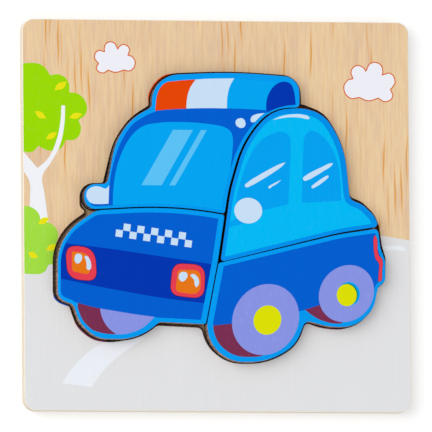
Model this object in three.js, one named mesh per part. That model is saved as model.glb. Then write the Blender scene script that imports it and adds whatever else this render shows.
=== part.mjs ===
// A wooden tray puzzle for small hands. Two glued sheets make a square tray with a car-shaped pocket,
// and four thick pieces stand in the pocket, a saw cut apart, and rise above the tray to be lifted out.
// Millimetres, +Z up. The tray lies flat with its underside at z = 0 and its middle on the Z axis.
import * as THREE from 'three';

// Tray
const boardSide = 150;
const boardCornerRadius = 4.5;
const backingThickness = 2.5;
const frameThickness = 3;
const sheetEdge = 0.25; // chamfer along the edges of both sheets

// Puzzle pieces
const pieceThickness = 7.5;
const pieceEdge = 0.3; // sanded round along the edges of the pieces
const pieceEdgeSteps = 2;
const seamGap = 0.4; // saw cut between two pieces
const pocketClearance = 0.6; // from the car's outline to the pocket's wall
const pocketLeftward = 0.25; // the pieces lie at the lower right of the pocket, so it is cut
const pocketUpward = 0.65; // this much further to the left and up
const pieceTipRadius = 1.3; // where a seam ends or meets another
const windowTurn = 0.4; // degrees by which the window piece lies turned in the pocket
const windowRightward = 0.15; // and how far it has slid from its saw cut
const gridSquare = 1; // the car's outlines are drawn in squares of this side

// Finish of round stretches
const arcTolerance = 0.02;

// Materials
const bareWood = { color: 0xe6c9a2, roughness: 0.72, metalness: 0 };
const printedWood = { color: 0xe4dccf, roughness: 0.6, metalness: 0 };
const skyBluePrint = { color: 0x00a4f4, roughness: 0.45, metalness: 0 };
const deepBluePrint = { color: 0x005fd2, roughness: 0.45, metalness: 0 };
const cyanPrint = { color: 0x00b8f4, roughness: 0.45, metalness: 0 };

// An outline is drawn as a draughtsman would: straight stretches that meet in corners, each corner
// rounded by its own radius. Places are measured from the middle of the board, and every loop runs
// anticlockwise as seen from above.
function corner(x, y, radius) {
  return { x, y, radius };
}

// A corner of the car, in squares of its drawing
function drawn(x, y, radius) {
  return corner(x * gridSquare, y * gridSquare, radius * gridSquare);
}

function withRadius(place, radius) {
  return corner(place.x, place.y, radius);
}

function between(from, to, share, radius) {
  const x = from.x + (to.x - from.x) * share;
  const y = from.y + (to.y - from.y) * share;
  return corner(x, y, radius);
}

// The long seam parts the front of the car from its side. It runs from the roof down to the sill.
const seamCrown = drawn(20.95, 40.85, 16);
const seamShoulder = drawn(9.75, 28.8, 40);
const seamDoor = drawn(3.9, 9.4, 60);
const seamWaist = drawn(-0.45, -18.35, 40);
const seamSill = drawn(-5.2, -42.2, 10);

// The dash seam parts the cab from the bonnet, and the belt seam the windows from the body side.
const dashShare = 0.333; // where the dash seam meets the long one, from seamDoor to seamWaist
const dashBow = drawn(-18, 3.35, 150);
const dashTee = between(seamDoor, seamWaist, dashShare, pieceTipRadius);
const beltBow = drawn(46.5, -6.9, 100);
const beltEnd = drawn(61.9, -4.6, 1.8);

// Light bar on the roof
const barFoot = drawn(31.9, 41.2, 1.8);
const lightBar = [
  drawn(31.8, 53.2, 6.5),
  drawn(6.5, 55.1, 200),
  drawn(-26, 53.4, 11),
  drawn(-26, 41.2, 1.7),
];

// Windscreen pillar and the door mirror below it
const pillar = [
  drawn(-34, 36.9, 22),
  drawn(-40.2, 27.5, 26),
  drawn(-43.4, 11.8, 1.7),
];
const mirrorTop = drawn(-52.4, 11.5, 4.6);
const mirrorUnderside = drawn(-52.4, 1.25, 4.6);

// Bonnet, bumper and the front wheel of the far side
const bonnetShoulder = drawn(-47.5, 1.55, 8);
const bonnetFront = [
  drawn(-57.3, -5.1, 22),
  drawn(-62.7, -13.6, 20),
  drawn(-62.8, -32.8, 4.5),
  drawn(-56.7, -34.9, 2.5),
];
const farWheel = [
  drawn(-54.4, -41.9, 12),
  drawn(-47.8, -48, 11),
  drawn(-31.3, -48.2, 22),
];
const sillFront = drawn(-23.3, -41.4, 2.8);

// Side of the body: front wheel, wheel arch, rear wheel, tail
const nearWheel = [
  drawn(-4, -50, 13),
  drawn(4.2, -56.5, 14),
  drawn(19.3, -56.6, 26),
  drawn(29.7, -49.5, 14),
];
const wheelGap = drawn(33.4, -40.4, 2.4);
const rearWheel = [
  drawn(43.1, -43.2, 30),
  drawn(53.2, -42.5, 13),
  drawn(60, -35.6, 10),
];
const tail = [
  drawn(61.75, -27.6, 2),
  drawn(64.6, -25, 2.5),
  drawn(64.6, -17, 6),
  drawn(62.8, -12.3, 6),
];

// Boot and the arch over the side windows
const boot = [
  drawn(60.4, -0.4, 10),
  drawn(55.6, 4.3, 8),
  drawn(50.7, 6.2, 3),
];
const windowArch = [
  drawn(48.9, 26.4, 35),
  drawn(41.5, 38.5, 13),
  drawn(33.6, 41.5, 19),
];

// The window piece has slid to the right and lies turned about the top of its arch
const archTop = drawn(22, 42, 0);
function slid(place) {
  const angle = THREE.MathUtils.degToRad(windowTurn);
  const turned = new THREE.Vector2(place.x, place.y).rotateAround(archTop, angle);
  return corner(turned.x + windowRightward, turned.y, place.radius);
}

// The pocket isn't the car's outline all round: it is closer along the light bar, the pillar and the
// mirror, shallower between mirror and bonnet, and wider at the sill, the wheels and the tail.
const pocketBar = [
  drawn(32.1, 52.4, 6.5),
  drawn(6.5, 54.2, 200),
  drawn(-25.2, 52.7, 11),
  drawn(-25.2, 41, 1.7),
];
const pocketPillar = [drawn(-33, 36.1, 22), drawn(-39.2, 27.1, 26), drawn(-43.3, 10.8, 1.7)];
const pocketMirror = drawn(-52.2, 10.5, 4.6);
const pocketNotch = [drawn(-52.2, 2.5, 2.5), drawn(-48.9, 0.6, 1.8)];
const pocketSill = [drawn(-23.6, -42.1, 2.8), drawn(-5.4, -42.9, 3)];
const pocketWheel = [...nearWheel.slice(0, 3), drawn(30.4, -49.7, 14)];
const pocketGap = drawn(33.7, -40.5, 2.4);
const pocketTail = [...tail.slice(0, 2), drawn(64.8, -16.4, 3), drawn(63.5, -12.3, 6)];
const pocketFoot = drawn(32.4, 41.3, 2.4);

const cabLoop = [
  dashTee,
  seamDoor,
  seamShoulder,
  seamCrown,
  barFoot,
  ...lightBar,
  ...pillar,
  mirrorTop,
  mirrorUnderside,
  dashBow,
];
const bonnetLoop = [
  dashTee,
  dashBow,
  bonnetShoulder,
  ...bonnetFront,
  ...farWheel,
  sillFront,
  withRadius(seamSill, pieceTipRadius),
  seamWaist,
];
const windowLoop = [
  withRadius(seamWaist, pieceTipRadius),
  beltBow,
  beltEnd,
  ...boot,
  ...windowArch,
  seamCrown,
  seamShoulder,
  seamDoor,
].map(slid);
const sideLoop = [
  withRadius(seamWaist, pieceTipRadius),
  seamSill,
  ...nearWheel,
  wheelGap,
  ...rearWheel,
  ...tail,
  beltEnd,
  beltBow,
];
const pocketLoop = [
  ...pocketBar,
  ...pocketPillar,
  pocketMirror,
  ...pocketNotch,
  ...bonnetFront,
  ...farWheel,
  ...pocketSill,
  ...pocketWheel,
  pocketGap,
  ...rearWheel,
  ...pocketTail,
  ...[beltEnd, ...boot, ...windowArch].map(slid),
  pocketFoot,
].map((place) => corner(place.x - pocketLeftward, place.y + pocketUpward, place.radius));

const halfBoard = boardSide / 2;
const boardLoop = [
  corner(halfBoard, halfBoard, boardCornerRadius),
  corner(-halfBoard, halfBoard, boardCornerRadius),
  corner(-halfBoard, -halfBoard, boardCornerRadius),
  corner(halfBoard, -halfBoard, boardCornerRadius),
];

// Moves every straight stretch of a loop outwards by the same distance, inwards where it is negative.
function movedOutwards(loop, distance) {
  return loop.map((here, i) => {
    const before = loop.at(i - 1);
    const after = loop[(i + 1) % loop.length];
    const arriving = new THREE.Vector2(here.x - before.x, here.y - before.y).normalize();
    const leaving = new THREE.Vector2(after.x - here.x, after.y - here.y).normalize();
    const turn = Math.atan2(arriving.cross(leaving), arriving.dot(leaving));
    const spread = distance / (1 + arriving.dot(leaving));
    return {
      x: here.x + (arriving.y + leaving.y) * spread,
      y: here.y - (arriving.x + leaving.x) * spread,
      radius: here.radius + Math.sign(turn) * distance,
      arriving,
      leaving,
      turn,
    };
  });
}

// The loop's points, with an arc in each corner. An arc is no larger than its two stretches can hold.
function loopPoints(loop, distance) {
  const corners = movedOutwards(loop, distance);
  const reach = corners.map((c) => c.radius * Math.tan(Math.abs(c.turn) / 2));
  const shares = corners.map((c, i) => {
    const next = (i + 1) % corners.length;
    const length = Math.hypot(corners[next].x - c.x, corners[next].y - c.y);
    return Math.min(1, length / (reach[i] + reach[next]));
  });
  return corners.flatMap((c, i) => {
    const radius = c.radius * Math.min(shares.at(i - 1), shares[i]);
    const side = Math.sign(c.turn);
    const back = radius * Math.tan(Math.abs(c.turn) / 2);
    const centreX = c.x - c.arriving.x * back - c.arriving.y * radius * side;
    const centreY = c.y - c.arriving.y * back + c.arriving.x * radius * side;
    const start = Math.atan2(c.arriving.y, c.arriving.x) - (side * Math.PI) / 2;
    const widestStep = 2 * Math.acos(1 - Math.min(arcTolerance / radius, 1));
    const steps = Math.max(1, Math.ceil(Math.abs(c.turn) / widestStep));
    const arc = new THREE.EllipseCurve(centreX, centreY, radius, radius, start, start + c.turn, side < 0);
    return arc.getPoints(steps);
  });
}

// A flat plate of the given loop that stands on z = 0. Its faces are drawn in by the eased edge, and the
// wall between them is the loop itself. A hole's edges are eased into the plate.
function plate(outline, thickness, edge, edgeSteps, hole) {
  const shape = new THREE.Shape(loopPoints(outline.loop, outline.distance - edge));
  if (hole) shape.holes.push(new THREE.Path(loopPoints(hole.loop, hole.distance + edge)));
  const geometry = new THREE.ExtrudeGeometry(shape, {
    depth: thickness - 2 * edge,
    bevelThickness: edge,
    bevelSize: edge,
    bevelSegments: edgeSteps,
  });
  return geometry.translate(0, 0, edge);
}

function addPart(group, name, geometry, finish, height) {
  const mesh = new THREE.Mesh(geometry, new THREE.MeshStandardMaterial(finish));
  mesh.name = name;
  mesh.position.z = height;
  group.add(mesh);
}

// The tray: a plain backing sheet, and the frame sheet with the pocket cut right through it
const tray = new THREE.Group();
const board = { loop: boardLoop, distance: 0 };
const pocket = { loop: pocketLoop, distance: pocketClearance };
addPart(tray, 'backing_board', plate(board, backingThickness, sheetEdge, 1), bareWood, 0);
addPart(tray, 'frame_board', plate(board, frameThickness, sheetEdge, 1, pocket), printedWood, backingThickness);

// The four pieces stand on the backing sheet, drawn in by half a saw cut from the lines they share
const pieces = new THREE.Group();
pieces.position.z = backingThickness;
function addPiece(name, loop, finish) {
  const outline = { loop, distance: -seamGap / 2 };
  addPart(pieces, name, plate(outline, pieceThickness, pieceEdge, pieceEdgeSteps), finish, 0);
}
addPiece('cab_piece', cabLoop, skyBluePrint);
addPiece('bonnet_piece', bonnetLoop, deepBluePrint);
addPiece('window_piece', windowLoop, cyanPrint);
addPiece('side_piece', sideLoop, deepBluePrint);

const puzzle = new THREE.Group();
puzzle.add(tray, pieces);

export default puzzle;
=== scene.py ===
# A wooden tray puzzle: a square tray with a car-shaped pocket, and four printed pieces that lift out of it.
import math

import bmesh
import bpy
from mathutils import Matrix, Vector
from mathutils.bvhtree import BVHTree


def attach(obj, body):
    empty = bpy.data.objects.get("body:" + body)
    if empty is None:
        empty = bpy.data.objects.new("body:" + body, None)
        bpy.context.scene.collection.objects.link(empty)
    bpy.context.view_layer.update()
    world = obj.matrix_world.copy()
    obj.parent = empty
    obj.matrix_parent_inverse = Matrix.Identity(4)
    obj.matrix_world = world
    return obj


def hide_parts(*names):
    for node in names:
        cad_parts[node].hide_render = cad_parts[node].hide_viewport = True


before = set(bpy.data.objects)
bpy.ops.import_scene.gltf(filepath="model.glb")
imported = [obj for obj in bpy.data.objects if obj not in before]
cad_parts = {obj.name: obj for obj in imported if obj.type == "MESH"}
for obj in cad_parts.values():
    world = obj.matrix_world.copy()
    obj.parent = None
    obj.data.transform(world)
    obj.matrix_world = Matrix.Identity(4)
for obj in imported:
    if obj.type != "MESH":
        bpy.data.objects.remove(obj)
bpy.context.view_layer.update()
scene = bpy.context.scene
scene.view_settings.view_transform = "Standard"
mm = 0.001
print("frame loaded:", ", ".join(sorted(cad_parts)))

cameraView = {
    "aim": (-0.4, -0.1, 5.5),  # mm
    "distance": 6000,  # mm
    "leftward": 10.0,  # degrees off the upright
    "downward": 5.2,
    "roll": 0.44,
    "lens": 1308,
    "near": 0.1,  # m
    "far": 20,  # m
}


def addCamera(view):
    slant = (-math.tan(math.radians(view["leftward"])), -math.tan(math.radians(view["downward"])), 1)
    back = Vector(slant).normalized()
    right = Vector((0, 1, 0)).cross(back).normalized()
    turn = Matrix((right, back.cross(right), back)).transposed().to_4x4()
    turn = turn @ Matrix.Rotation(math.radians(-view["roll"]), 4, "Z")
    lens = bpy.data.cameras.new("view")
    lens.lens = view["lens"]
    lens.clip_start = view["near"]
    lens.clip_end = view["far"]
    holder = bpy.data.objects.new("view", lens)
    holder.matrix_world = Matrix.Translation(Vector(view["aim"]) * mm + back * view["distance"] * mm) @ turn
    scene.collection.objects.link(holder)
    scene.camera = holder


addCamera(cameraView)
print("camera placed")

studio = {
    "ambient": 0.545,
    "airTint": (0.95, 0.99, 1.05, 1),  # cool air and warm lamps make the shadows a little blue
    "lampTint": (1.05, 1.01, 0.95),
    "lamps": [
        {"name": "keyLamp", "at": (-1.7, 0.7, 2.0), "size": 2.8, "power": 39.5},
        {"name": "fillLamp", "at": (0.7, -0.8, 1.1), "size": 1.2, "power": 4.0},
    ],
    "floorTone": 0.84,
    "floorLift": 0.24,  # what the lens sees on top of the lit floor
    "floorRoughness": 0.9,
    "floorReach": 4,  # m
    "floorDrop": 0.05,  # mm below the tray
}


def addNode(tree, kind, inputs=None, **settings):
    made = tree.nodes.new("ShaderNode" + kind)
    for key, value in settings.items():
        setattr(made, key, value)
    for key, value in (inputs or {}).items():
        if isinstance(value, bpy.types.NodeSocket):
            tree.links.new(value, made.inputs[key])
        else:
            made.inputs[key].default_value = value
    return made


def calculate(tree, operation, first, second):
    return addNode(tree, "Math", {0: first, 1: second}, operation=operation).outputs[0]


def times(tree, first, second):
    return calculate(tree, "MULTIPLY", first, second)


def plus(tree, first, second):
    return calculate(tree, "ADD", first, second)


def blendColours(tree, share, first, second):
    return addNode(tree, "Mix", {0: share, 6: first, 7: second}, data_type="RGBA").outputs[2]


def smoothBetween(tree, value, low, high):
    spread = {"Value": value, "From Min": low, "From Max": high}
    return addNode(tree, "MapRange", spread, interpolation_type="SMOOTHSTEP").outputs[0]


def linearColour(red, green, blue):
    shares = [v / 255 for v in (red, green, blue)]
    return tuple(v / 12.92 if v < 0.04045 else ((v + 0.055) / 1.055) ** 2.4 for v in shares) + (1,)


def newMaterial(name):
    material = bpy.data.materials.new(name)
    material.use_nodes = True
    return material, material.node_tree, material.node_tree.nodes["Principled BSDF"]


def addLamp(lamp, tint):
    light = bpy.data.lights.new(lamp["name"], "AREA")
    light.shape = "DISK"
    light.size = lamp["size"]
    light.energy = lamp["power"]
    light.color = tint
    holder = bpy.data.objects.new(lamp["name"], light)
    holder.location = lamp["at"]
    holder.rotation_euler = (-Vector(lamp["at"])).to_track_quat("-Z", "Y").to_euler()
    holder.visible_camera = False
    scene.collection.objects.link(holder)


def addFloor(settings):
    material, tree, shader = newMaterial("paleFloor")
    shader.inputs["Base Color"].default_value = (settings["floorTone"],) * 3 + (1,)
    shader.inputs["Roughness"].default_value = settings["floorRoughness"]
    shader.inputs["Emission Color"].default_value = (1, 1, 1, 1)
    path = addNode(tree, "LightPath").outputs
    rays = calculate(tree, "MAXIMUM", path["Is Camera Ray"], path["Is Glossy Ray"])
    rays = calculate(tree, "MAXIMUM", rays, path["Is Transmission Ray"])
    tree.links.new(times(tree, rays, settings["floorLift"]), shader.inputs["Emission Strength"])
    sheet = bmesh.new()
    bmesh.ops.create_grid(sheet, x_segments=1, y_segments=1, size=settings["floorReach"])
    bmesh.ops.translate(sheet, verts=sheet.verts, vec=(0, 0, -settings["floorDrop"] * mm))
    mesh = bpy.data.meshes.new("floor")
    sheet.to_mesh(mesh)
    sheet.free()
    mesh.materials.append(material)
    floor = bpy.data.objects.new("floor", mesh)
    scene.collection.objects.link(floor)


def addStudio(settings):
    world = bpy.data.worlds.new("studioAir")
    world.use_nodes = True
    air = world.node_tree
    seen = addNode(air, "LightPath").outputs["Is Camera Ray"]
    strength = addNode(air, "MapRange", {"Value": seen, "To Min": settings["ambient"], "To Max": 1})
    air.links.new(strength.outputs[0], air.nodes["Background"].inputs["Strength"])
    tint = blendColours(air, seen, settings["airTint"], (1, 1, 1, 1))
    air.links.new(tint, air.nodes["Background"].inputs["Color"])
    scene.world = world
    for lamp in settings["lamps"]:
        addLamp(lamp, settings["lampTint"])
    addFloor(settings)


addStudio(studio)
print("studio lit")


def newGroup(name, inputs, outputs):
    group = bpy.data.node_groups.new(name, "ShaderNodeTree")
    kinds = {"colour": "NodeSocketColor", "value": "NodeSocketFloat"}
    for label, kind in inputs:
        group.interface.new_socket(label, in_out="INPUT", socket_type=kinds[kind])
    for label, kind in outputs:
        group.interface.new_socket(label, in_out="OUTPUT", socket_type=kinds[kind])
    given = group.nodes.new("NodeGroupInput").outputs
    result = group.nodes.new("NodeGroupOutput").inputs
    return group, given, result


noiseRoughness = 0.55


# noise with its own number of spots per mm along X, Y and Z
def stretchedNoise(tree, grain):
    place = addNode(tree, "TexCoord").outputs["Object"]
    scale = [v / mm for v in grain["perMm"]]
    spot = addNode(tree, "Mapping", {"Vector": place, "Scale": scale, "Location": (grain["shift"],) * 3})
    look = {"Vector": spot.outputs[0], "Scale": 1, "Detail": grain["detail"], "Roughness": noiseRoughness}
    return addNode(tree, "TexNoise", look).outputs["Fac"]


# how much of a noise counts: none below its band, its full share above
def shareOf(tree, value, grain):
    return times(tree, smoothBetween(tree, value, *grain["band"]), grain["share"])


def shareOfHeight(tree, bottom, top):
    place = addNode(tree, "TexCoord").outputs["Object"]
    height = times(tree, addNode(tree, "SeparateXYZ", {0: place}).outputs["Z"], 1 / mm)
    return addNode(tree, "MapRange", {"Value": height, "From Min": bottom, "From Max": top}).outputs[0]


woodGrain = {
    "drift": {"perMm": (0.11, 0.014, 0.11), "detail": 3, "shift": 0.0, "band": (0.38, 0.62), "share": 0.3},
    "mottle": {"perMm": (0.9, 0.07, 0.9), "detail": 4, "shift": 3.1, "band": (0.36, 0.68), "share": 0.5},
    "fibre": {"perMm": (3.4, 0.12, 3.4), "detail": 4, "shift": 7.7, "band": (0.45, 0.75), "share": 0.3},
    "pores": {"perMm": (5.5, 0.5, 5.5), "detail": 2, "shift": 1.9, "band": (0.58, 0.78), "share": 0.22},
    "sway": {"perMm": (0.05, 0.05, 0.05), "detail": 1, "shift": 6.1, "reach": 2.4},  # mm
    "spindle": {"perMm": (0.42, 0.016, 0.42), "body": (0.03, 0.22), "strength": (0.1, 0.8), "dent": 0.4},
}


# long thin spots that taper at both ends, some strong and some faint
def spindles(tree):
    place = addNode(tree, "TexCoord").outputs["Object"]
    sway = times(tree, stretchedNoise(tree, woodGrain["sway"]), woodGrain["sway"]["reach"] * mm)
    aside = addNode(tree, "CombineXYZ", {0: sway}).outputs[0]
    moved = addNode(tree, "VectorMath", {0: place, 1: aside}).outputs[0]
    scale = [v / mm for v in woodGrain["spindle"]["perMm"]]
    spot = addNode(tree, "Mapping", {"Vector": moved, "Scale": scale}).outputs[0]
    cells = addNode(tree, "TexVoronoi", {"Vector": spot, "Scale": 1}, voronoi_dimensions="2D").outputs
    outside = smoothBetween(tree, cells["Distance"], *woodGrain["spindle"]["body"])
    body = calculate(tree, "SUBTRACT", 1, outside)
    strength = addNode(tree, "SeparateXYZ", {0: cells["Color"]}).outputs["X"]
    return times(tree, body, smoothBetween(tree, strength, *woodGrain["spindle"]["strength"]))


# planed face of the sheet: tan wood, grain along Y, with fine fibres and short golden streaks
def makeWoodFace():
    inputs = [("Pale", "colour"), ("Warm", "colour"), ("Streak", "colour"), ("Streaks", "value")]
    tree, given, result = newGroup("woodFace", inputs, [("Colour", "colour"), ("Relief", "value")])
    kinds = ("drift", "mottle", "fibre", "pores")
    noise = {kind: stretchedNoise(tree, woodGrain[kind]) for kind in kinds}
    drift, mottle, fibre, pores = (shareOf(tree, noise[kind], woodGrain[kind]) for kind in kinds)
    colour = blendColours(tree, plus(tree, drift, mottle), given["Pale"], given["Warm"])
    colour = blendColours(tree, plus(tree, fibre, pores), colour, given["Streak"])
    mark = times(tree, spindles(tree), given["Streaks"])
    colour = blendColours(tree, mark, colour, given["Streak"])
    tree.links.new(colour, result["Colour"])
    dent = times(tree, mark, woodGrain["spindle"]["dent"])
    tree.links.new(calculate(tree, "SUBTRACT", noise["fibre"], dent), result["Relief"])
    return tree


scorchMarks = {
    "score": {"perMm": (1.5, 1.5, 0.06), "detail": 1, "shift": 0.0, "band": (0.4, 0.62), "share": 0.5},
    "cloud": {"perMm": (0.22, 0.22, 0.4), "detail": 3, "shift": 5.3, "band": (0.42, 0.75), "share": 0.2},
    # the wall darkens towards its bottom: painted shade where it runs down into the gap
    "depth": {"band": (0.5, 1), "share": 0.4},
}


# wall left by the saw: scorched brown, scored along the height, and darker towards the bottom with painted
# shade
def makeScorchedWall():
    inputs = [("Brown", "colour"), ("Char", "colour")]
    inputs += [("Bottom", "value"), ("Top", "value"), ("Burn", "value")]
    tree, given, result = newGroup("scorchedWall", inputs, [("Colour", "colour"), ("Relief", "value")])
    score, cloud = (stretchedNoise(tree, scorchMarks[kind]) for kind in ("score", "cloud"))
    depth = calculate(tree, "SUBTRACT", 1, shareOfHeight(tree, given["Bottom"], given["Top"]))
    dark = shareOf(tree, score, scorchMarks["score"])
    dark = plus(tree, dark, shareOf(tree, cloud, scorchMarks["cloud"]))
    # painted shade towards the bottom of the wall
    dark = plus(tree, dark, shareOf(tree, depth, scorchMarks["depth"]))
    dark = addNode(tree, "Clamp", {0: plus(tree, dark, given["Burn"])}).outputs[0]
    tree.links.new(blendColours(tree, dark, given["Brown"], given["Char"]), result["Colour"])
    tree.links.new(score, result["Relief"])
    return tree


plyGrain = {
    "ragged": {"perMm": (0.25, 0.25, 0.6), "detail": 3, "shift": 2.7, "reach": 0.1},
    "core": {"band": (0.18, 0.23), "share": 0.55},  # from the middle out, in shares of the height
    "strands": {"perMm": (0.12, 0.12, 6.0), "detail": 3, "shift": 8.3, "band": (0.45, 0.75), "share": 0.35},
    "ends": {"perMm": (4.0, 4.0, 4.0), "detail": 2, "shift": 4.1, "band": (0.4, 0.7), "share": 0.45},
    "endsDent": 0.4,
}


# sawn edge of a sheet: two pale outer plies about a darker core
def makePlyEdge():
    inputs = [("Outer", "colour"), ("Core", "colour"), ("Bottom", "value"), ("Top", "value")]
    tree, given, result = newGroup("plyEdge", inputs, [("Colour", "colour"), ("Relief", "value")])
    ragged, strands, ends = (stretchedNoise(tree, plyGrain[kind]) for kind in ("ragged", "strands", "ends"))
    across = shareOfHeight(tree, given["Bottom"], given["Top"])
    fromMiddle = calculate(tree, "ABSOLUTE", calculate(tree, "SUBTRACT", across, 0.5), 0)
    reach = plyGrain["ragged"]["reach"]
    wander = calculate(tree, "SUBTRACT", times(tree, ragged, reach), reach / 2)
    outer = smoothBetween(tree, plus(tree, fromMiddle, wander), *plyGrain["core"]["band"])
    core = calculate(tree, "SUBTRACT", 1, outer)
    fleck = shareOf(tree, strands, plyGrain["strands"])
    grit = times(tree, shareOf(tree, ends, plyGrain["ends"]), core)
    dark = plus(tree, times(tree, core, plyGrain["core"]["share"]), plus(tree, fleck, grit))
    dark = addNode(tree, "Clamp", {0: dark}).outputs[0]
    tree.links.new(blendColours(tree, dark, given["Outer"], given["Core"]), result["Colour"])
    dent = times(tree, ends, plyGrain["endsDent"])
    tree.links.new(plus(tree, strands, dent), result["Relief"])
    return tree


inkGrain = {
    "fibre": {"perMm": (1.7, 0.05, 1.7), "detail": 4, "shift": 2.3, "tint": 0.5},
    "weave": {"perMm": (4.5, 4.5, 4.5), "detail": 2, "shift": 9.1, "dent": 0.25},
    "pores": {"perMm": (2.6, 0.3, 2.6), "detail": 3, "shift": 4.7, "band": (0.56, 0.76)},
    "poreTone": (236, 238, 240),
    "tone": {"From Min": 0.4, "From Max": 1.1, "To Min": 0.955, "To Max": 1.045},
    "gloss": {"To Min": 0.34, "To Max": 0.52},
}


# print: even ink with the wood's fibres showing faintly through it
def makePrintedInk():
    inputs = [("Colour", "colour"), ("Bare", "value")]
    outputs = [("Colour", "colour"), ("Gloss", "value"), ("Relief", "value")]
    tree, given, result = newGroup("printedInk", inputs, outputs)
    fibre, weave, pores = (stretchedNoise(tree, inkGrain[kind]) for kind in ("fibre", "weave", "pores"))
    share = times(tree, smoothBetween(tree, pores, *inkGrain["pores"]["band"]), given["Bare"])
    colour = blendColours(tree, share, given["Colour"], linearColour(*inkGrain["poreTone"]))
    mixed = plus(tree, weave, times(tree, fibre, inkGrain["fibre"]["tint"]))
    tone = addNode(tree, "MapRange", {"Value": mixed, **inkGrain["tone"]}).outputs[0]
    toned = addNode(tree, "HueSaturation", {"Value": tone, "Color": colour}).outputs[0]
    tree.links.new(toned, result["Colour"])
    gloss = addNode(tree, "MapRange", {"Value": weave, **inkGrain["gloss"]}).outputs[0]
    tree.links.new(gloss, result["Gloss"])
    dent = times(tree, weave, inkGrain["weave"]["dent"])
    tree.links.new(plus(tree, fibre, dent), result["Relief"])
    return tree


effects = {
    "woodFace": {"group": makeWoodFace(), "roughness": 0.58, "specular": 0.3, "relief": 0.05},
    "scorchedWall": {"group": makeScorchedWall(), "roughness": 0.75, "specular": 0.2, "relief": 0.08},
    "plyEdge": {"group": makePlyEdge(), "roughness": 0.7, "specular": 0.2, "relief": 0.08},
    "printedInk": {"group": makePrintedInk(), "specular": 0.03, "relief": 0.03},  # has a gloss of its own
}
print("finishes ready:", ", ".join(effects))

bumpStrength = 0.6


# a material is one effect with its own tones: three numbers are a colour, one is a value
def makeFinish(name, kind, shades):
    effect = effects[kind]
    material, tree, shader = newMaterial(name)
    holder = tree.nodes.new("ShaderNodeGroup")
    holder.node_tree = effect["group"]
    for key, value in shades.items():
        socket = holder.inputs[key.capitalize()]
        socket.default_value = linearColour(*value) if isinstance(value, tuple) else value
    tree.links.new(holder.outputs["Colour"], shader.inputs["Base Color"])
    if "roughness" in effect:
        shader.inputs["Roughness"].default_value = effect["roughness"]
    else:
        tree.links.new(holder.outputs["Gloss"], shader.inputs["Roughness"])
    shader.inputs["Specular IOR Level"].default_value = effect["specular"]
    depth = effect["relief"] * mm
    bump = {"Height": holder.outputs["Relief"], "Strength": bumpStrength, "Distance": depth}
    tree.links.new(addNode(tree, "Bump", bump).outputs[0], shader.inputs["Normal"])
    return material


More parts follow.
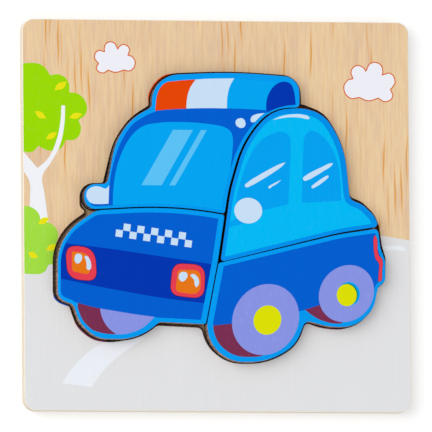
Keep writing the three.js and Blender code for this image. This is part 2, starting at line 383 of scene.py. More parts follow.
# heights in mm between which a wall or an edge runs
backingCut = {"bottom": 0, "top": 2.5}
frameCut = {"bottom": 2.5, "top": 5.5}
sawCut = {"bottom": 2.5, "top": 10}
gapShadeHeights = {"bottom": 2, "top": 3}
tones = {
    "woodFace": {
        "trayFace": {
            "pale": (241, 211, 166), "warm": (222, 188, 160), "streak": (226, 154, 56), "streaks": 1.0,
        },
        "pocketFloor": {
            "pale": (236, 210, 176), "warm": (226, 194, 156), "streak": (198, 146, 94), "streaks": 0.5,
        },
        "trayUnderside": {
            "pale": (232, 205, 172), "warm": (224, 190, 152), "streak": (196, 146, 98), "streaks": 0.5,
        },
        "pieceUnderside": {
            "pale": (226, 196, 158), "warm": (216, 180, 140), "streak": (186, 136, 90), "streaks": 0.5,
        },
    },
    "scorchedWall": {
        "pieceWall": {"brown": (180, 146, 124), "char": (66, 50, 43), "burn": 0.0, **sawCut},
        "cabWall": {"brown": (126, 109, 103), "char": (46, 39, 38), "burn": 0.1, **sawCut},
        "pieceRim": {"brown": (112, 88, 76), "char": (54, 42, 38), "burn": 0.0, **sawCut},
        # painted shade: the walls and rims in the seams between pieces are nearly black for the shade in
        # the narrow gaps
        "seamWall": {"brown": (44, 35, 31), "char": (18, 14, 13), "burn": 0.2, **sawCut},
        "seamRim": {"brown": (26, 21, 19), "char": (10, 8, 8), "burn": 0.3, **sawCut},
        "pocketWall": {"brown": (128, 96, 76), "char": (40, 30, 26), "burn": 0.2, **frameCut},
        "pocketRim": {"brown": (90, 68, 56), "char": (40, 30, 25), "burn": 0.1, **frameCut},
        # a line of painted shade on the pocket's floor along its wall
        "gapShadeFloor": {"brown": (168, 130, 104), "char": (78, 58, 48), "burn": 0.1, **gapShadeHeights},
    },
    "plyEdge": {
        "backingEdge": {"outer": (248, 238, 220), "core": (228, 204, 172), **backingCut},
        "frameEdge": {"outer": (250, 242, 226), "core": (230, 206, 174), **frameCut},
    },
    "printedInk": {
        "edgeBlue": {"colour": (0, 156, 243), "bare": 0},
        "edgeSky": {"colour": (0, 146, 238), "bare": 0},
        "screenBlue": {"colour": (0, 166, 243), "bare": 0},
        "paneBlue": {"colour": (0, 163, 242), "bare": 0.01},
        "cyanInk": {"colour": (0, 187, 246), "bare": 0.02},
        "paintBlue": {"colour": (0, 95, 209), "bare": 0},
        "nightBlue": {"colour": (0, 54, 177), "bare": 0},
        "skyShine": {"colour": (92, 196, 247), "bare": 0.04},
        "paleInk": {"colour": (202, 226, 247), "bare": 0.05},
        "beaconOrange": {"colour": (232, 70, 2), "bare": 0},
        "lampRed": {"colour": (231, 62, 80), "bare": 0.02},
        "lampAmber": {"colour": (233, 120, 22), "bare": 0.01},
        "lampLine": {"colour": (34, 20, 70), "bare": 0},
        "tyreMaroon": {"colour": (122, 46, 80), "bare": 0.04},
        "wheelLilac": {"colour": (137, 149, 228), "bare": 0.12},
        "hubYellow": {"colour": (223, 226, 2), "bare": 0.0},
        "hubGreen": {"colour": (0, 128, 92), "bare": 0.0},
        "roadGrey": {"colour": (229, 229, 230), "bare": 0.1},
        "lineWhite": {"colour": (238, 242, 248), "bare": 0.1},
        "barkWhite": {"colour": (244, 245, 250), "bare": 0.1},
        "leafGreen": {"colour": (156, 220, 2), "bare": 0.04},
        "bushGreen": {"colour": (164, 225, 66), "bare": 0.14},
        "leafYellow": {"colour": (236, 230, 20), "bare": 0.06},
        "cloudWhite": {"colour": (242, 242, 249), "bare": 0.1},
        "cloudLine": {"colour": (220, 102, 36), "bare": 0.04},
    },
}
finishes = {}
for kind, batch in tones.items():
    for name, shades in batch.items():
        finishes[name] = makeFinish(name, kind, shades)
print("materials:", len(finishes))


def mergedCopy(node):
    copy = bmesh.new()
    copy.from_mesh(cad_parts[node].data)
    bmesh.ops.remove_doubles(copy, verts=copy.verts, dist=0.001 * mm)
    flat = math.radians(0.2)
    bmesh.ops.dissolve_limit(copy, angle_limit=flat, verts=copy.verts, edges=copy.edges)
    return copy


def finishObject(name, shape, materials, body):
    made = looseObject(name, shape)
    for material in materials:
        made.data.materials.append(finishes[material])
    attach(made, body)
    return made


def looseObject(name, shape):
    mesh = bpy.data.meshes.new(name)
    shape.to_mesh(mesh)
    shape.free()
    made = bpy.data.objects.new(name, mesh)
    scene.collection.objects.link(made)
    return made


def dropObject(made):
    mesh = made.data
    bpy.data.objects.remove(made)
    (bpy.data.meshes if isinstance(mesh, bpy.types.Mesh) else bpy.data.curves).remove(mesh)


# the top face of a node alone, in mm and at height 0, with the height that it came from
def openTop(node):
    face = mergedCopy(node)
    lid = max(v.co.z for v in face.verts)
    under = [f for f in face.faces if f.calc_center_median().z < lid - 0.01 * mm]
    bmesh.ops.delete(face, geom=under, context="FACES")
    bmesh.ops.translate(face, verts=face.verts, vec=(0, 0, -lid))
    bmesh.ops.scale(face, verts=face.verts, vec=(1 / mm, 1 / mm, 1 / mm))
    return face, lid


gapShadeIndex = 1  # marks the faces of the painted shade line until they get their finish
cutting = {
    "pocketReach": 73,  # mm from the tray's middle, within which a wall is the pocket's
    "seamFrom": 2.2,  # mm off the pocket's wall, where a seam begins
    "height": 4,  # mm, halfway up the pocket's wall
    "steep": 0.1,  # walls tilt less than this
    "level": 0.99,  # tops and undersides are flatter than this
    "crease": 28,  # degrees
}


# painted shade: a dark line on the sheet below along the pocket's wall, for the shade in the gap round the
# pieces
def paintGapShade(shape, width):
    lid = max(v.co.z for v in shape.verts)
    tops = [f for f in shape.faces if f.normal.z > cutting["level"]]
    bmesh.ops.delete(shape, geom=tops, context="FACES_ONLY")
    floor = openTop("frame_board")[0]
    reach = cutting["pocketReach"]
    hole = [e for e in floor.edges if e.is_boundary and max(map(abs, e.verts[0].co)) < reach]
    inside = bmesh.ops.edgeloop_fill(floor, edges=hole)["faces"]
    line = bmesh.ops.inset_region(floor, faces=inside, thickness=width, use_even_offset=True)["faces"]
    for face in line:
        face.material_index = gapShadeIndex
    bmesh.ops.recalc_face_normals(floor, faces=floor.faces)
    bmesh.ops.reverse_faces(floor, faces=[f for f in floor.faces if f.normal.z < 0])
    place = Matrix.Translation((0, 0, lid)) @ Matrix.Scale(mm, 4)
    bmesh.ops.transform(floor, matrix=place, verts=floor.verts)
    mesh = bpy.data.meshes.new("pocketFloor")
    floor.to_mesh(mesh)
    floor.free()
    shape.from_mesh(mesh)
    bpy.data.meshes.remove(mesh)
    bmesh.ops.remove_doubles(shape, verts=shape.verts, dist=0.01 * mm)
    shape.normal_update()


def faceKind(face, wood, pocket):
    spot = face.calc_center_median()
    if face.material_index == gapShadeIndex:
        return "gapShade"
    if face.normal.z > wood["printedFrom"]:
        return "top"
    if face.normal.z < -cutting["level"]:
        return "underside"
    if wood["body"] == "tray":
        cut = "pocket" if max(abs(spot.x), abs(spot.y)) < cutting["pocketReach"] * mm else "outer"
    else:
        # a wall far from the pocket's wall faces another piece across a seam and gets painted shade
        gap = pocket.find_nearest(Vector((spot.x, spot.y, cutting["height"] * mm)))[3]
        cut = "seam" if gap > cutting["seamFrom"] * mm else "outer"
    return cut + ("Wall" if abs(face.normal.z) < cutting["steep"] else "Rim")


# a wooden piece takes the shape of its solid and gets a finish for each kind of face
def addWood(wood):
    shape = mergedCopy(wood["node"])
    if "gapShade" in wood:
        paintGapShade(shape, wood["gapShade"])
    sheet = mergedCopy("frame_board")
    pocket = BVHTree.FromBMesh(sheet)
    sheet.free()
    kinds = list(wood["finishes"])
    for face in shape.faces:
        face.material_index = kinds.index(faceKind(face, wood, pocket))
        face.smooth = True
    made = finishObject(wood["name"], shape, wood["finishes"].values(), wood["body"])
    made.data.set_sharp_from_angle(angle=math.radians(cutting["crease"]))
    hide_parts(wood["node"])


def extrude(face, low, high):
    bmesh.ops.translate(face, verts=face.verts, vec=(0, 0, low))
    raised = bmesh.ops.extrude_face_region(face, geom=face.faces[:], use_keep_orig=True)["geom"]
    corners = [v for v in raised if isinstance(v, bmesh.types.BMVert)]
    bmesh.ops.translate(face, verts=corners, vec=(0, 0, high - low))
    bmesh.ops.recalc_face_normals(face, faces=face.faces)


drawing = {
    "rimStep": 0.05,  # mm
    "closeUp": 0.8,  # of a step: points nearer than this become one
    "below": -1,  # the stencil's depth and height, with the slabs between 0 and 1
    "above": 2,
    "curveSteps": 10,
    "ovalSides": 72,
    "weld": 0.001,  # mm
    "straight": 0.01,  # radians
}


# the stencil is the top of a piece less its plain rim, drawn in step by step so that tight corners close up
def makeStencil(node, rim, offset):
    face, lid = openTop(node)
    step = drawing["rimStep"]
    inward = {"thickness": step, "use_even_offset": True, "use_boundary": True}
    for turn in range(round(rim / step)):
        border = bmesh.ops.inset_region(face, faces=face.faces[:], **inward)
        bmesh.ops.delete(face, geom=border["faces"], context="FACES")
        bmesh.ops.remove_doubles(face, verts=face.verts, dist=drawing["closeUp"] * step)
    bmesh.ops.translate(face, verts=face.verts, vec=(*offset, 0))
    extrude(face, drawing["below"], drawing["above"])
    return looseObject("stencil", face), lid


# a closed curve through its points: a point with a third number is a sharp corner
def drawOutline(points):
    curve = bpy.data.curves.new("outline", "CURVE")
    curve.dimensions = "2D"
    curve.fill_mode = "BOTH"
    curve.resolution_u = drawing["curveSteps"]
    spline = curve.splines.new("BEZIER")
    spline.bezier_points.add(len(points) - 1)
    spline.use_cyclic_u = True
    for knot, point in zip(spline.bezier_points, points):
        knot.co = (point[0], point[1], 0)
    for knot, point in zip(spline.bezier_points, points):
        kind = "AUTO" if len(point) == 2 else "VECTOR"
        knot.handle_left_type = kind
        knot.handle_right_type = kind
    holder = bpy.data.objects.new("outline", curve)
    scene.collection.objects.link(holder)
    bpy.context.view_layer.update()
    mesh = bpy.data.meshes.new_from_object(holder)
    face = bmesh.new()
    face.from_mesh(mesh)
    bpy.data.meshes.remove(mesh)
    dropObject(holder)
    bmesh.ops.remove_doubles(face, verts=face.verts, dist=drawing["weld"])
    return face


# straight sides whose corners are rounded, each from its own distance
def drawRounded(corners):
    points = []
    steps = drawing["curveSteps"]
    for i, (x, y, reach) in enumerate(corners):
        here, before, after = (Vector(corners[k % len(corners)][:2]) for k in (i, i - 1, i + 1))
        start = here + (before - here).normalized() * reach
        end = here + (after - here).normalized() * reach
        for share in [t / steps for t in range(steps + 1)]:
            points.append(start.lerp(here, share).lerp(here.lerp(end, share), share))
    face = bmesh.new()
    face.faces.new([face.verts.new((*point, 0)) for point in points])
    return face


def layFlat(face, x, y, degrees):
    turn = Matrix.Rotation(math.radians(degrees), 3, "Z")
    bmesh.ops.rotate(face, verts=face.verts, matrix=turn)
    bmesh.ops.translate(face, verts=face.verts, vec=(x, y, 0))


def drawOval(x, y, wide, high, lean):
    face = bmesh.new()
    bmesh.ops.create_circle(face, cap_ends=True, segments=drawing["ovalSides"], radius=1)
    bmesh.ops.scale(face, verts=face.verts, vec=(wide, high, 1))
    layFlat(face, x, y, -lean)
    return face


def drawChequer(x, y, side, columns, rows, slant):
    face = bmesh.new()
    bmesh.ops.create_grid(face, x_segments=columns, y_segments=rows, size=0.5)
    bmesh.ops.scale(face, verts=face.verts, vec=(columns * side, rows * side, 1))
    spare = [f for i, f in enumerate(face.faces) if (i % columns + i // columns) % 2]
    bmesh.ops.delete(face, geom=spare, context="FACES")
    bmesh.ops.split_edges(face, edges=face.edges)
    layFlat(face, x, y, slant)
    return face


def drawPatch(patch):
    if "outline" in patch:
        face = drawOutline(patch["outline"])
    elif "rounded" in patch:
        face = drawRounded(patch["rounded"])
    elif "oval" in patch:
        face = drawOval(*patch["oval"], patch.get("lean", 0))
    else:
        face = drawChequer(*patch["chequer"])
    bmesh.ops.dissolve_limit(face, angle_limit=drawing["straight"], verts=face.verts, edges=face.edges)
    bmesh.ops.recalc_face_normals(face, faces=face.faces)
    bmesh.ops.reverse_faces(face, faces=[f for f in face.faces if f.normal.z < 0])
    return face


film = {
    "step": 0.015,  # mm from one level to the next
    "sunk": 0.03,  # mm of each film below the wood's face
}


# one patch as a slab of its ink, cut to the stencil where it runs on to the rim
def makeSlab(patch, colours, stencil):
    face = drawPatch(patch)
    edging = []
    if "edging" in patch:
        border = {"thickness": patch["line"], "use_even_offset": True, "use_boundary": True}
        edging = bmesh.ops.inset_region(face, faces=face.faces[:], **border)["faces"]
    for part in face.faces:
        part.material_index = colours.index(patch["ink"])
    for part in edging:
        part.material_index = colours.index(patch["edging"])
    extrude(face, 0, 1)
    slab = looseObject("slab", face)
    if patch.get("clip"):
        cut = slab.modifiers.new("cut", "BOOLEAN")
        cut.operation = "INTERSECT"
        cut.solver = "EXACT"
        cut.object = stencil
    bpy.context.view_layer.update()
    mesh = bpy.data.meshes.new_from_object(slab.evaluated_get(bpy.context.evaluated_depsgraph_get()))
    dropObject(slab)
    layer = bmesh.new()
    layer.from_mesh(mesh)
    if patch.get("clip"):
        for part in layer.faces:
            part.material_index = colours.index(patch["ink"])
    return layer, mesh


# the picture on one piece: flat films of ink, each a hair above the one it covers
def addPrint(art):
    stencil, lid = makeStencil(art["node"], art["rim"], art["offset"])
    colours = []
    picture = bmesh.new()
    for patch in art["patches"]:
        for ink in (patch["ink"], patch.get("edging", patch["ink"])):
            if ink not in colours:
                colours.append(ink)
        layer, mesh = makeSlab(patch, colours, stencil)
        thick = film["sunk"] + film["step"] * patch["level"]
        place = Matrix.Translation((0, 0, lid - film["sunk"] * mm))
        place = place @ Matrix.Diagonal((mm, mm, thick * mm, 1))
        bmesh.ops.transform(layer, matrix=place, verts=layer.verts)
        layer.to_mesh(mesh)
        layer.free()
        picture.from_mesh(mesh)
        bpy.data.meshes.remove(mesh)
    dropObject(stencil)
    finishObject(art["name"], picture, colours, art["body"])
    print("printed", art["name"], "with", len(art["patches"]), "patches")


tray = [
    {
        "name": "backing",
        "node": "backing_board",
        "body": "tray",
        "slot": "backing_wood",
        "printedFrom": 0.99,  # the flat face alone
        # mm wide: the painted shade line on the floor along the pocket's wall
        "gapShade": 1.3,
        "finishes": {
            "top": "pocketFloor", "underside": "trayUnderside",
            "outerRim": "backingEdge", "outerWall": "backingEdge", "gapShade": "gapShadeFloor",
        },
    },
    {
        "name": "frame",
        "node": "frame_board",
        "body": "tray",
        "slot": "frame_print",
        "printedFrom": 0.99,  # the flat face alone
        "finishes": {
            "top": "trayFace", "underside": "trayUnderside",
            "outerRim": "frameEdge", "outerWall": "frameEdge",
            "pocketRim": "pocketRim", "pocketWall": "pocketWall",
        },
    },
]
for sheet in tray:
    addWood(sheet)
print("tray built")

leaves = [  # four on the tree, three on the bush
    {"level": 3, "outline": [(-62.7, 47.6, 1), (-61.3, 50.1), (-57.9, 51.1, 1), (-59.2, 48.4)]},
    {"level": 3, "outline": [(-70.4, 39.5, 1), (-67.9, 39.3), (-65.9, 36.8, 1), (-68.6, 37.0)]},
    {"level": 3, "outline": [(-57.1, 37.1, 1), (-54.8, 39.0), (-51.9, 38.6, 1), (-54.1, 36.8)]},
    {"level": 3, "outline": [(-66.2, 28.7, 1), (-64.8, 30.9), (-61.8, 31.6, 1), (-63.1, 29.3)]},
    {"level": 4, "outline": [(-69.4, -3.8, 1), (-67.8, -1.5), (-65.0, -1.2, 1), (-66.5, -3.4)]},
    {"level": 4, "outline": [(-73.3, -14.7, 1), (-71.2, -14.5), (-69.4, -16.5, 1), (-71.8, -16.7)]},
    {"level": 4, "outline": [(-66.4, -13.9, 1), (-64.9, -11.7), (-62.3, -11.5, 1), (-63.6, -13.7)]},
]
framePrint = {
    "name": "framePicture",
    "node": "frame_board",
    "body": "tray",
    "slot": "frame_print",
    "rim": 0,
    "offset": (0, 0),
    "patches": [
        {"ink": "roadGrey", "level": 1, "clip": True, "outline": [  # road
            (-79.7, -21.4, 1), (-69.6, -20.8), (-60.4, -15.2, 1), (63.0, -7.0, 1), (80.4, -9.8, 1),
            (80.4, -80.4, 1), (-79.7, -80.4, 1),
        ]},
        {"ink": "leafGreen", "level": 1, "clip": True, "outline": [  # tree crown
            (-79.7, 56.5, 1), (-72.7, 58.0), (-67.3, 57.1), (-64.2, 53.4, 1), (-60.4, 53.6),
            (-57.3, 50.9), (-56.9, 46.9, 1), (-53.1, 46.1), (-50.4, 42.6), (-50.6, 38.8),
            (-53.4, 36.2, 1), (-52.5, 33.0), (-54.4, 29.1), (-58.5, 28.5, 1), (-60.4, 25.4),
            (-65.0, 24.5), (-68.9, 26.2, 1), (-71.6, 23.9), (-75.0, 24.1), (-79.7, 25.3, 1),
        ]},
        {"ink": "barkWhite", "level": 2, "clip": True, "outline": [  # trunk and two boughs
            (-73.1, -2.9, 1), (-72.4, 6.4), (-72.6, 12.5), (-75.0, 16.8), (-79.7, 22.6, 1),
            (-79.7, 29.5, 1), (-73.9, 22.9), (-69.4, 17.7, 1), (-65.4, 21.4), (-62.3, 27.6),
            (-60.5, 35.3), (-60.0, 41.8, 1), (-58.6, 41.8, 1), (-59.0, 34.1), (-60.9, 26.0),
            (-64.2, 19.9), (-67.5, 14.8), (-66.7, 7.5), (-65.4, -2.9, 1),
        ]},
        {"ink": "bushGreen", "level": 3, "clip": True, "outline": [  # bush
            (-79.7, 2.1, 1), (-73.5, 3.1), (-69.6, 1.0), (-68.1, -2.9, 1), (-64.2, -3.7),
            (-61.7, -7.1), (-62.5, -11.4, 1), (-60.4, -14.1), (-61.5, -18.3), (-65.4, -19.3, 1),
            (-67.3, -22.2), (-72.0, -22.9), (-79.7, -21.8, 1),
        ]},
        *[{"ink": "leafYellow", "clip": True, **leaf} for leaf in leaves],
        {"ink": "lineWhite", "level": 2, "clip": True, "outline": [  # lane mark, far
            (64.3, -11.0, 1), (72.3, -11.1, 1), (73.2, -12.9, 1), (64.8, -12.6, 1),
        ]},
        {"ink": "lineWhite", "level": 2, "clip": True, "outline": [  # lane mark, near
            (-60.5, -64.6, 1), (-55.5, -57.6), (-49.7, -52.2), (-41.0, -47.0, 1), (-28.0, -46.9, 1),
            (-35.2, -51.6), (-41.7, -56.8), (-46.0, -61.7), (-49.0, -66.0, 1),
        ]},
        {"ink": "beaconOrange", "level": 1, "clip": True, "outline": [  # picture's edge at the light bar
            (-16.28, 54.52, 1), (-19.76, 53.91), (-22.74, 51.92), (-25.02, 49.14), (-26.34, 45.85),
            (-26.30, 42.28, 1), (-24.39, 45.31, 1), (-22.41, 49.30, 1), (-18.92, 52.07, 1),
        ]},
        {"ink": "paintBlue", "level": 2, "clip": True, "outline": [  # picture's edge at the bumper
            (-63.77, -29.74, 1), (-63.35, -31.97), (-61.72, -33.66), (-59.64, -34.59),
            (-57.56, -35.21, 1), (-58.59, -32.89, 1), (-60.67, -32.01, 1), (-61.90, -30.59, 1),
        ]},
        {"ink": "tyreMaroon", "level": 2, "clip": True, "outline": [  # picture's edge at the far wheel
            (-56.38, -38.54, 1), (-54.80, -42.42), (-51.94, -45.51), (-48.34, -47.77), (-44.20, -48.68),
            (-40.04, -48.65), (-35.92, -48.04, 1), (-40.84, -46.69, 1), (-47.59, -45.86, 1),
            (-52.76, -41.86, 1),
        ]},
        {"ink": "tyreMaroon", "level": 2, "clip": True, "outline": [  # picture's edge at the rear wheel
            (35.39, -41.24, 1), (38.37, -42.36), (41.47, -43.01), (44.65, -43.31), (47.83, -43.28),
            (50.92, -42.50, 1), (47.77, -41.45, 1), (43.25, -41.36, 1), (38.81, -40.58, 1),
        ]},
        {"ink": "cloudWhite", "level": 2, "edging": "cloudLine", "line": 0.42, "outline": [  # left cloud
            (-41.8, 55.3, 1), (-38.9, 54.5), (-35.9, 55.4, 1), (-33.0, 55.3), (-31.1, 58.3), (-32.4, 61.0),
            (-33.8, 61.5, 1), (-33.3, 63.7), (-35.3, 65.6), (-37.6, 64.8), (-38.0, 64.1, 1), (-39.5, 66.3),
            (-42.4, 66.1), (-43.5, 63.7), (-43.4, 62.9, 1), (-45.7, 63.2), (-47.3, 60.7), (-46.3, 58.6),
            (-45.8, 58.1, 1), (-46.5, 55.9), (-44.0, 54.2),
        ]},
        {"ink": "cloudWhite", "level": 2, "edging": "cloudLine", "line": 0.42, "outline": [  # right cloud
            (65.9, 44.2), (68.9, 46.3), (68.1, 49.1, 1), (68.7, 49.7), (69.9, 52.3), (67.9, 55.5),
            (65.0, 55.0, 1), (65.2, 56.1), (63.8, 59.1), (60.1, 59.3), (58.3, 56.5, 1), (57.7, 57.4),
            (54.8, 58.4), (52.4, 56.1), (53.0, 53.3, 1), (51.1, 52.7), (49.5, 49.3), (52.0, 45.5),
            (55.6, 45.7, 1), (59.3, 44.5), (63.0, 45.5, 1),
        ]},
    ],
}
addPrint(framePrint)

sawnFinishes = {
    "underside": "pieceUnderside",
    "outerRim": "pieceRim", "outerWall": "pieceWall",
    # the seams between pieces are finished in painted shade
    "seamRim": "seamRim", "seamWall": "seamWall",
}

cab = {
    "name": "cab",
    "node": "cab_piece",
    "body": "cab",
    "slot": "cab_print",
    "printedFrom": 0.9,  # the edge ink runs a little way over the rounded rim
    "finishes": {**sawnFinishes, "top": "edgeBlue", "outerWall": "cabWall", "outerRim": "cabWall"},
}
cabPrint = {
    "name": "cabPicture",
    "node": "cab_piece",
    "body": "cab",
    "slot": "cab_print",
    "rim": 1.5,
    "offset": (0.1, -0.7),  # the print sits a little off the cut
    "patches": [
        {"ink": "beaconOrange", "level": 1, "outline": [  # left lamp of the light bar
            (-24.5, 38.9, 1), (-24.2, 42.1), (-23.8, 45.1), (-22.6, 48.2), (-20.4, 50.4), (-16.5, 51.15),
            (-12.6, 51.55), (-8.7, 51.8, 1), (-10.9, 48.5), (-12.1, 44.3), (-12.4, 38.9, 1),
        ]},
        {"ink": "paleInk", "level": 1, "outline": [  # clear lamp
            (-12.4, 38.9, 1), (-12.1, 44.3), (-10.9, 48.5), (-8.7, 51.8, 1), (-4.9, 52.1), (0.9, 52.3),
            (6.3, 52.4, 1), (4.8, 49.8), (3.7, 46.0), (3.3, 38.9, 1),
        ]},
        {"ink": "screenBlue", "level": 1, "clip": True, "outline": [  # blue lamp
            (3.3, 38.9, 1), (3.7, 46.0), (4.8, 49.8), (6.6, 53.0), (8.4, 57.4, 1), (31.3, 57.4, 1),
            (31.3, 38.9, 1),
        ]},
        {"ink": "nightBlue", "level": 2, "outline": [  # end cap
            (18.65, 39.3, 1), (18.6, 41.3), (18.75, 43.6), (19.35, 45.9), (20.55, 48.2), (21.55, 49.4),
            (23.0, 50.55), (25.0, 51.25), (27.0, 51.1), (28.4, 50.2), (29.3, 48.3), (29.8, 46.0),
            (30.05, 42.5, 1), (26.3, 42.0), (22.9, 41.1),
        ]},
        {"ink": "paintBlue", "level": 2, "outline": [  # outer side of the far pillar
            (-22.0, 38.6, 1), (-22.0, 39.6, 1), (-25.3, 39.0), (-28.6, 37.45), (-31.2, 35.9), (-33.2, 34.3),
            (-35.7, 31.2), (-37.5, 28.1), (-38.9, 25.05), (-40.0, 22.0), (-40.85, 18.9), (-41.6, 15.8),
            (-42.1, 12.8), (-42.5, 10.0, 1), (-40.0, 8.0, 1), (-36.0, 24.0, 1), (-30.0, 33.0, 1),
        ]},
        {"ink": "paintBlue", "level": 3, "clip": True, "outline": [  # roof and pillars
            (-49.6, 39.4, 1), (-27.3, 39.4), (-20.5, 40.1), (-12.5, 40.6), (-4.5, 40.85), (3.6, 40.8),
            (12.1, 40.6), (19.8, 40.1), (27.5, 38.9, 1), (27.5, -5.8, 1), (-49.6, -5.8, 1),
        ]},
        {"ink": "screenBlue", "level": 4, "clip": True, "outline": [  # windscreen
            (-41.2, -5.8, 1), (-41.1, 5.7), (-40.8, 10.4), (-39.9, 16.2), (-38.7, 20.5), (-37.0, 24.6),
            (-35.1, 28.1), (-33.6, 30.1), (-31.4, 32.3), (-28.3, 34.1), (-24.4, 34.9), (-18.6, 35.4),
            (-12.7, 35.4), (-6.9, 35.1), (-3.1, 34.7), (0.8, 34.05), (2.8, 33.4), (4.3, 32.4), (5.1, 31.2),
            (5.6, 28.5), (5.5, 26.0), (4.7, 18.9), (3.1, 10.2), (-0.8, -5.8, 1),
        ]},
        {"ink": "paleInk", "level": 4, "outline": [  # far door mirror
            (-42.5, 10.9, 1), (-43.8, 9.7), (-46.2, 10.4), (-48.5, 10.4), (-50.4, 9.4), (-51.3, 7.7),
            (-50.9, 5.5), (-49.2, 4.0), (-46.5, 3.7), (-42.8, 3.9, 1),
        ]},
        {"ink": "paleInk", "level": 4, "outline": [  # roof shine
            (7.9, 37.0), (9.6, 36.9), (10.4, 35.8), (10.4, 34.3), (9.3, 33.4), (7.7, 33.7),
            (6.8, 34.7), (6.9, 36.3),
        ]},
        {"ink": "paleInk", "level": 4, "clip": True, "outline": [  # roof shine
            (12.5, 36.5), (13.1, 37.9), (14.8, 38.7), (18.2, 39.2, 1), (16.5, 37.8), (14.9, 36.3),
            (13.7, 35.6), (12.8, 35.7),
        ]},
        {"ink": "skyShine", "level": 5, "outline": [  # broad shine on the windscreen
            (-30.0, 11.1, 1), (-17.6, 32.4, 1), (-9.9, 32.4, 1), (-22.2, 11.1, 1),
        ]},
        {"ink": "skyShine", "level": 5, "outline": [  # narrow shine beside it
            (-19.2, 11.1, 1), (-6.8, 32.4, 1), (-4.5, 32.4, 1), (-16.9, 11.1, 1),
        ]},
    ],
}
addWood(cab)
addPrint(cabPrint)

bonnet = {
    "name": "bonnet",
    "node": "bonnet_piece",
    "body": "bonnet",
    "slot": "bonnet_print",
    "printedFrom": 0.3,  # the edge ink runs over most of the rounded rim
    "finishes": {**sawnFinishes, "top": "edgeBlue"},
}
bonnetPrint = {
    "name": "bonnetPicture",
    "node": "bonnet_piece",
    "body": "bonnet",
    "slot": "bonnet_print",
    "rim": 1.4,
    "offset": (-0.6, -0.1),
    "patches": [
        {"ink": "tyreMaroon", "level": 1, "clip": True, "outline": [  # far wheel's tyre
            (-54.9, -28.0, 1), (-54.95, -34.0), (-54.9, -36.7), (-54.3, -39.0), (-53.1, -41.3),
            (-50.85, -43.6), (-48.6, -44.8), (-44.8, -45.8), (-40.1, -46.15, 1), (-36.0, -44.5, 1),
            (-30.0, -38.0, 1), (-30.0, -28.0, 1),
        ]},
        {"ink": "wheelLilac", "level": 2, "clip": True, "outline": [  # far wheel
            (-46.3, -34.0, 1), (-46.25, -37.0), (-45.7, -39.3), (-44.7, -41.6), (-42.9, -43.9),
            (-40.2, -46.15, 1), (-37.0, -46.0), (-33.8, -45.25), (-30.6, -43.95), (-27.3, -41.4),
            (-25.3, -39.3, 1), (-25.3, -34.0, 1),
        ]},
        {"ink": "paintBlue", "level": 3, "clip": True, "outline": [  # bonnet and bumper
            (-68.9, 9.6, 1), (4.4, 9.6, 1), (4.4, -44.9, 1), (-5.7, -42.1), (-15.7, -40.8),
            (-25.3, -39.35), (-33.1, -38.35), (-40.8, -37.15), (-48.5, -35.85), (-52.4, -34.9),
            (-56.0, -33.9), (-68.9, -31.3, 1),
        ]},
        {"ink": "nightBlue", "level": 4, "clip": True, "outline": [  # grille band
            (-68.9, -10.3, 1), (-59.7, -11.4), (-43.8, -13.2), (-31.1, -14.9), (-18.4, -16.8),
            (-2.6, -19.1), (8.2, -20.6, 1), (8.2, -35.7, 1), (-4.7, -34.1), (-19.5, -32.4),
            (-39.6, -29.2), (-61.3, -25.0), (-68.9, -23.4, 1),
        ]},
        {"ink": "lampRed", "level": 5, "edging": "lampLine", "line": 0.22, "rounded": [  # left lamp
            (-59.85, -11.75, 5.2), (-48.05, -13, 5.4), (-47.2, -26.2, 4.6), (-59.05, -25.1, 5.2),
        ]},
        {"ink": "lampAmber", "level": 6, "rounded": [  # left lamp's glass
            (-57.15, -14.45, 0.8), (-50.3, -15.2, 3.6), (-50.05, -23.5, 2.4), (-57.05, -22.1, 1.2),
        ]},
        {"ink": "paleInk", "level": 7, "outline": [  # left lamp's shine
            (-56.05, -16.7), (-55.5, -15.6), (-54.3, -15.35), (-53.3, -16), (-53.2, -17.2),
            (-53.9, -18.6), (-55.1, -19.15), (-55.9, -18.5),
        ]},
        {"ink": "paleInk", "level": 7, "outline": [  # left lamp's shine
            (-52.2, -16.5), (-51.4, -16.2), (-50.3, -17.4), (-49.75, -19.1), (-49.9, -21.1),
            (-50.65, -21.6), (-51.3, -21.3), (-51.5, -19.3), (-51.8, -17.7),
        ]},
        {"ink": "lampRed", "level": 5, "edging": "lampLine", "line": 0.22, "rounded": [  # right lamp
            (-18.15, -18.45, 4.2), (-5.3, -19.2, 5), (-5.9, -32.6, 5), (-19.65, -31.1, 4.4),
        ]},
        {"ink": "lampAmber", "level": 6, "rounded": [  # right lamp's glass
            (-16.1, -21.2, 1.6), (-7.2, -21.3, 3.2), (-7.5, -31, 4.2), (-17.15, -29.6, 1.8),
        ]},
        {"ink": "paleInk", "level": 7, "outline": [  # right lamp's shine
            (-15.8, -23.5), (-15.2, -22.4), (-13.9, -22), (-12.7, -22.5), (-12.4, -23.6),
            (-13.1, -24.9), (-14.3, -25.75), (-15.5, -25.1),
        ]},
        {"ink": "paleInk", "level": 7, "outline": [  # right lamp's shine
            (-11.3, -23.4), (-10.4, -22.8), (-8.6, -23.9), (-8, -25.3), (-8.15, -26.9), (-9.1, -28, 1),
            (-9.7, -26.8), (-9.9, -25.2), (-10.9, -23.95),
        ]},
        {"ink": "paleInk", "level": 4, "chequer": (-25.2, -8.0, 2.7, 11, 2, -8)},  # band across the bonnet
    ],
}
addWood(bonnet)
addPrint(bonnetPrint)

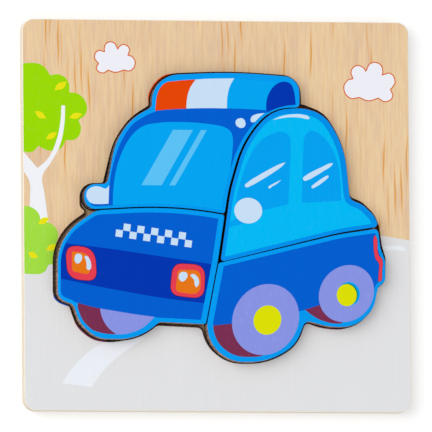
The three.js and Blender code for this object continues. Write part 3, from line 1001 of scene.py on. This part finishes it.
windows = {
    "name": "windows",
    "node": "window_piece",
    "body": "windows",
    "slot": "window_print",
    "printedFrom": 0.9,  # the edge ink runs a little way over the rounded rim
    "finishes": {**sawnFinishes, "top": "edgeSky"},
}
windowsPrint = {
    "name": "windowsPicture",
    "node": "window_piece",
    "body": "windows",
    "slot": "window_print",
    "rim": 1.5,
    "offset": (-0.4, -0.3),
    "patches": [
        {"ink": "cyanInk", "level": 1, "clip": True, "outline": [  # door and window frames
            (-7.2, 48.2, 1), (69.9, 48.2, 1), (69.9, -29.0, 1), (-7.2, -29.0, 1),
        ]},
        {"ink": "paneBlue", "level": 2, "outline": [  # front pane
            (6.4, 3.8, 1), (7.2, 8.4), (8.6, 13.0), (11.2, 20.5), (15.5, 27.5), (20.6, 31.1),
            (24.9, 31.9), (27.3, 30.6), (27.9, 27.5), (27.6, 17.3), (26.9, 4.3, 1), (16.7, 1.7, 1),
        ]},
        {"ink": "paneBlue", "level": 2, "outline": [  # rear pane
            (33.0, 25.8), (33.6, 30.3), (35.8, 32.4), (39.9, 30.8), (43.6, 26.5), (46.1, 20.5),
            (47.2, 12.9), (47.4, 5.7, 1), (32.2, 4.8, 1), (32.5, 15.0),
        ]},
        {"ink": "paleInk", "level": 3, "outline": [  # long shine, front
            (10.1, 11.3), (11.3, 12.55), (15.15, 15.05), (19.95, 17.75), (24.2, 19.8), (26, 20.3, 1),
            (24.7, 18.9), (20.95, 16.2), (16.25, 13.3), (12.2, 11.1), (10.6, 10.65),
        ]},
        {"ink": "paleInk", "level": 3, "outline": [  # short shine, front
            (19.2, 10.7), (20.5, 11.7), (22.4, 12.7), (24.3, 13.6, 1), (22.7, 12.2), (20.9, 11.1),
            (19.4, 10.3),
        ]},
        {"ink": "paleInk", "level": 3, "outline": [  # long shine, rear
            (32.7, 14.2), (33.7, 15.25), (36.35, 16.85), (39.95, 18.55), (43.2, 20.05),
            (44.4, 20.15, 1), (43.75, 19.1), (40.8, 17.15), (37.4, 15.05), (34.6, 13.6),
            (33.2, 13.35),
        ]},
        {"ink": "paleInk", "level": 3, "outline": [  # short shine, rear
            (35.95, 11), (36.75, 11.85), (38.95, 13.5), (41.35, 15), (42.4, 15.35), (42.65, 15),
            (41.95, 14.1), (39.75, 12.3), (37.45, 10.85), (36.4, 10.45),
        ]},
        {"ink": "paleInk", "level": 3, "outline": [  # shine on the arch
            (21.1, 36.5, 1), (23.1, 37.5), (25.6, 38.3), (29.0, 38.8), (32.7, 38.7), (35.1, 37.9),
            (35.4, 37.2), (34.6, 37.0), (31.9, 37.5), (27.5, 37.6), (23.8, 37.1),
        ]},
        {"ink": "paneBlue", "level": 3, "outline": [  # mirror stalk
            (4.3, -2.6, 1), (6.7, -1.5, 1), (10.5, -3.0, 1), (4.0, -4.7, 1),
        ]},
        {"ink": "paleInk", "level": 4, "oval": (11.32, 1.64, 5.4, 4.93)},  # door mirror
    ],
}
addWood(windows)
addPrint(windowsPrint)

bodySide = {
    "name": "bodySide",
    "node": "side_piece",
    "body": "body_side",
    "slot": "side_print",
    "printedFrom": 0.3,  # the edge ink runs over most of the rounded rim
    "finishes": {**sawnFinishes, "top": "edgeBlue"},
}
bodySidePrint = {
    "name": "bodySidePicture",
    "node": "side_piece",
    "body": "body_side",
    "slot": "side_print",
    "rim": 1.4,
    "offset": (0.5, 0.2),
    "patches": [
        {"ink": "paintBlue", "level": 1, "clip": True, "outline": [  # body side
            (-11.1, 5.7, 1), (69.9, 5.7, 1), (69.9, -32.0, 1), (59.1, -32.0), (48.7, -32.8),
            (38.7, -34.7), (31.3, -36.7), (15.9, -39.8), (5.1, -41.7), (-5.3, -42.7, 1),
            (-11.1, -42.8, 1),
        ]},
        {"ink": "tyreMaroon", "level": 2, "clip": True, "outline": [  # front tyre
            (-11.1, -42.8, 1), (-5.3, -42.7), (5.1, -41.7, 1), (12.8, -40.5, 1), (16.7, -55.2, 1),
            (12.1, -63.7, 1), (-11.1, -63.7, 1),
        ]},
        {"ink": "tyreMaroon", "level": 2, "outline": [  # rear tyre
            (33.0, -36.2, 1), (38.8, -34.4, 1), (42.9, -34.0, 1), (47.5, -41.4, 1), (44.5, -41.4),
            (42.0, -41.0), (38.4, -39.8), (35.4, -38.0),
        ]},
        {"ink": "lampRed", "level": 3, "edging": "lampLine", "line": 0.12, "outline": [  # tail lamp
            (59.9, -8.5), (60.5, -7.5), (61.2, -8.4), (61.6, -13.4), (62.05, -15.1), (63.25, -16.5),
            (63.2, -21.6), (63.05, -24.5), (62.65, -25.1, 1), (61.5, -25.3, 1), (61.75, -21.8),
            (61.8, -18.2), (60.7, -16.7), (60.05, -14.2), (59.85, -11.3),
        ]},
        {"ink": "wheelLilac", "level": 3, "oval": (17.72, -40.08, 12.51, 14.1), "lean": 34},  # front wheel
        {"ink": "hubYellow", "level": 4, "oval": (18.42, -40.27, 5.27, 5.75), "lean": 31},  # front hub
        {"ink": "wheelLilac", "level": 3, "oval": (49.22, -29.88, 10.12, 11.54), "lean": 41},  # rear wheel
        {"ink": "screenBlue", "level": 4, "oval": (50.15, -30.05, 4.35, 4.65)},  # rear hub's rim
        {"ink": "hubGreen", "level": 5, "oval": (49.63, -30.27, 4.0, 4.28)},  # green line beside the hub
        {"ink": "hubYellow", "level": 6, "oval": (49.3, -30.5, 3.88, 4.24)},  # rear hub
    ],
}
addWood(bodySide)
addPrint(bodySidePrint)
print("pieces built")
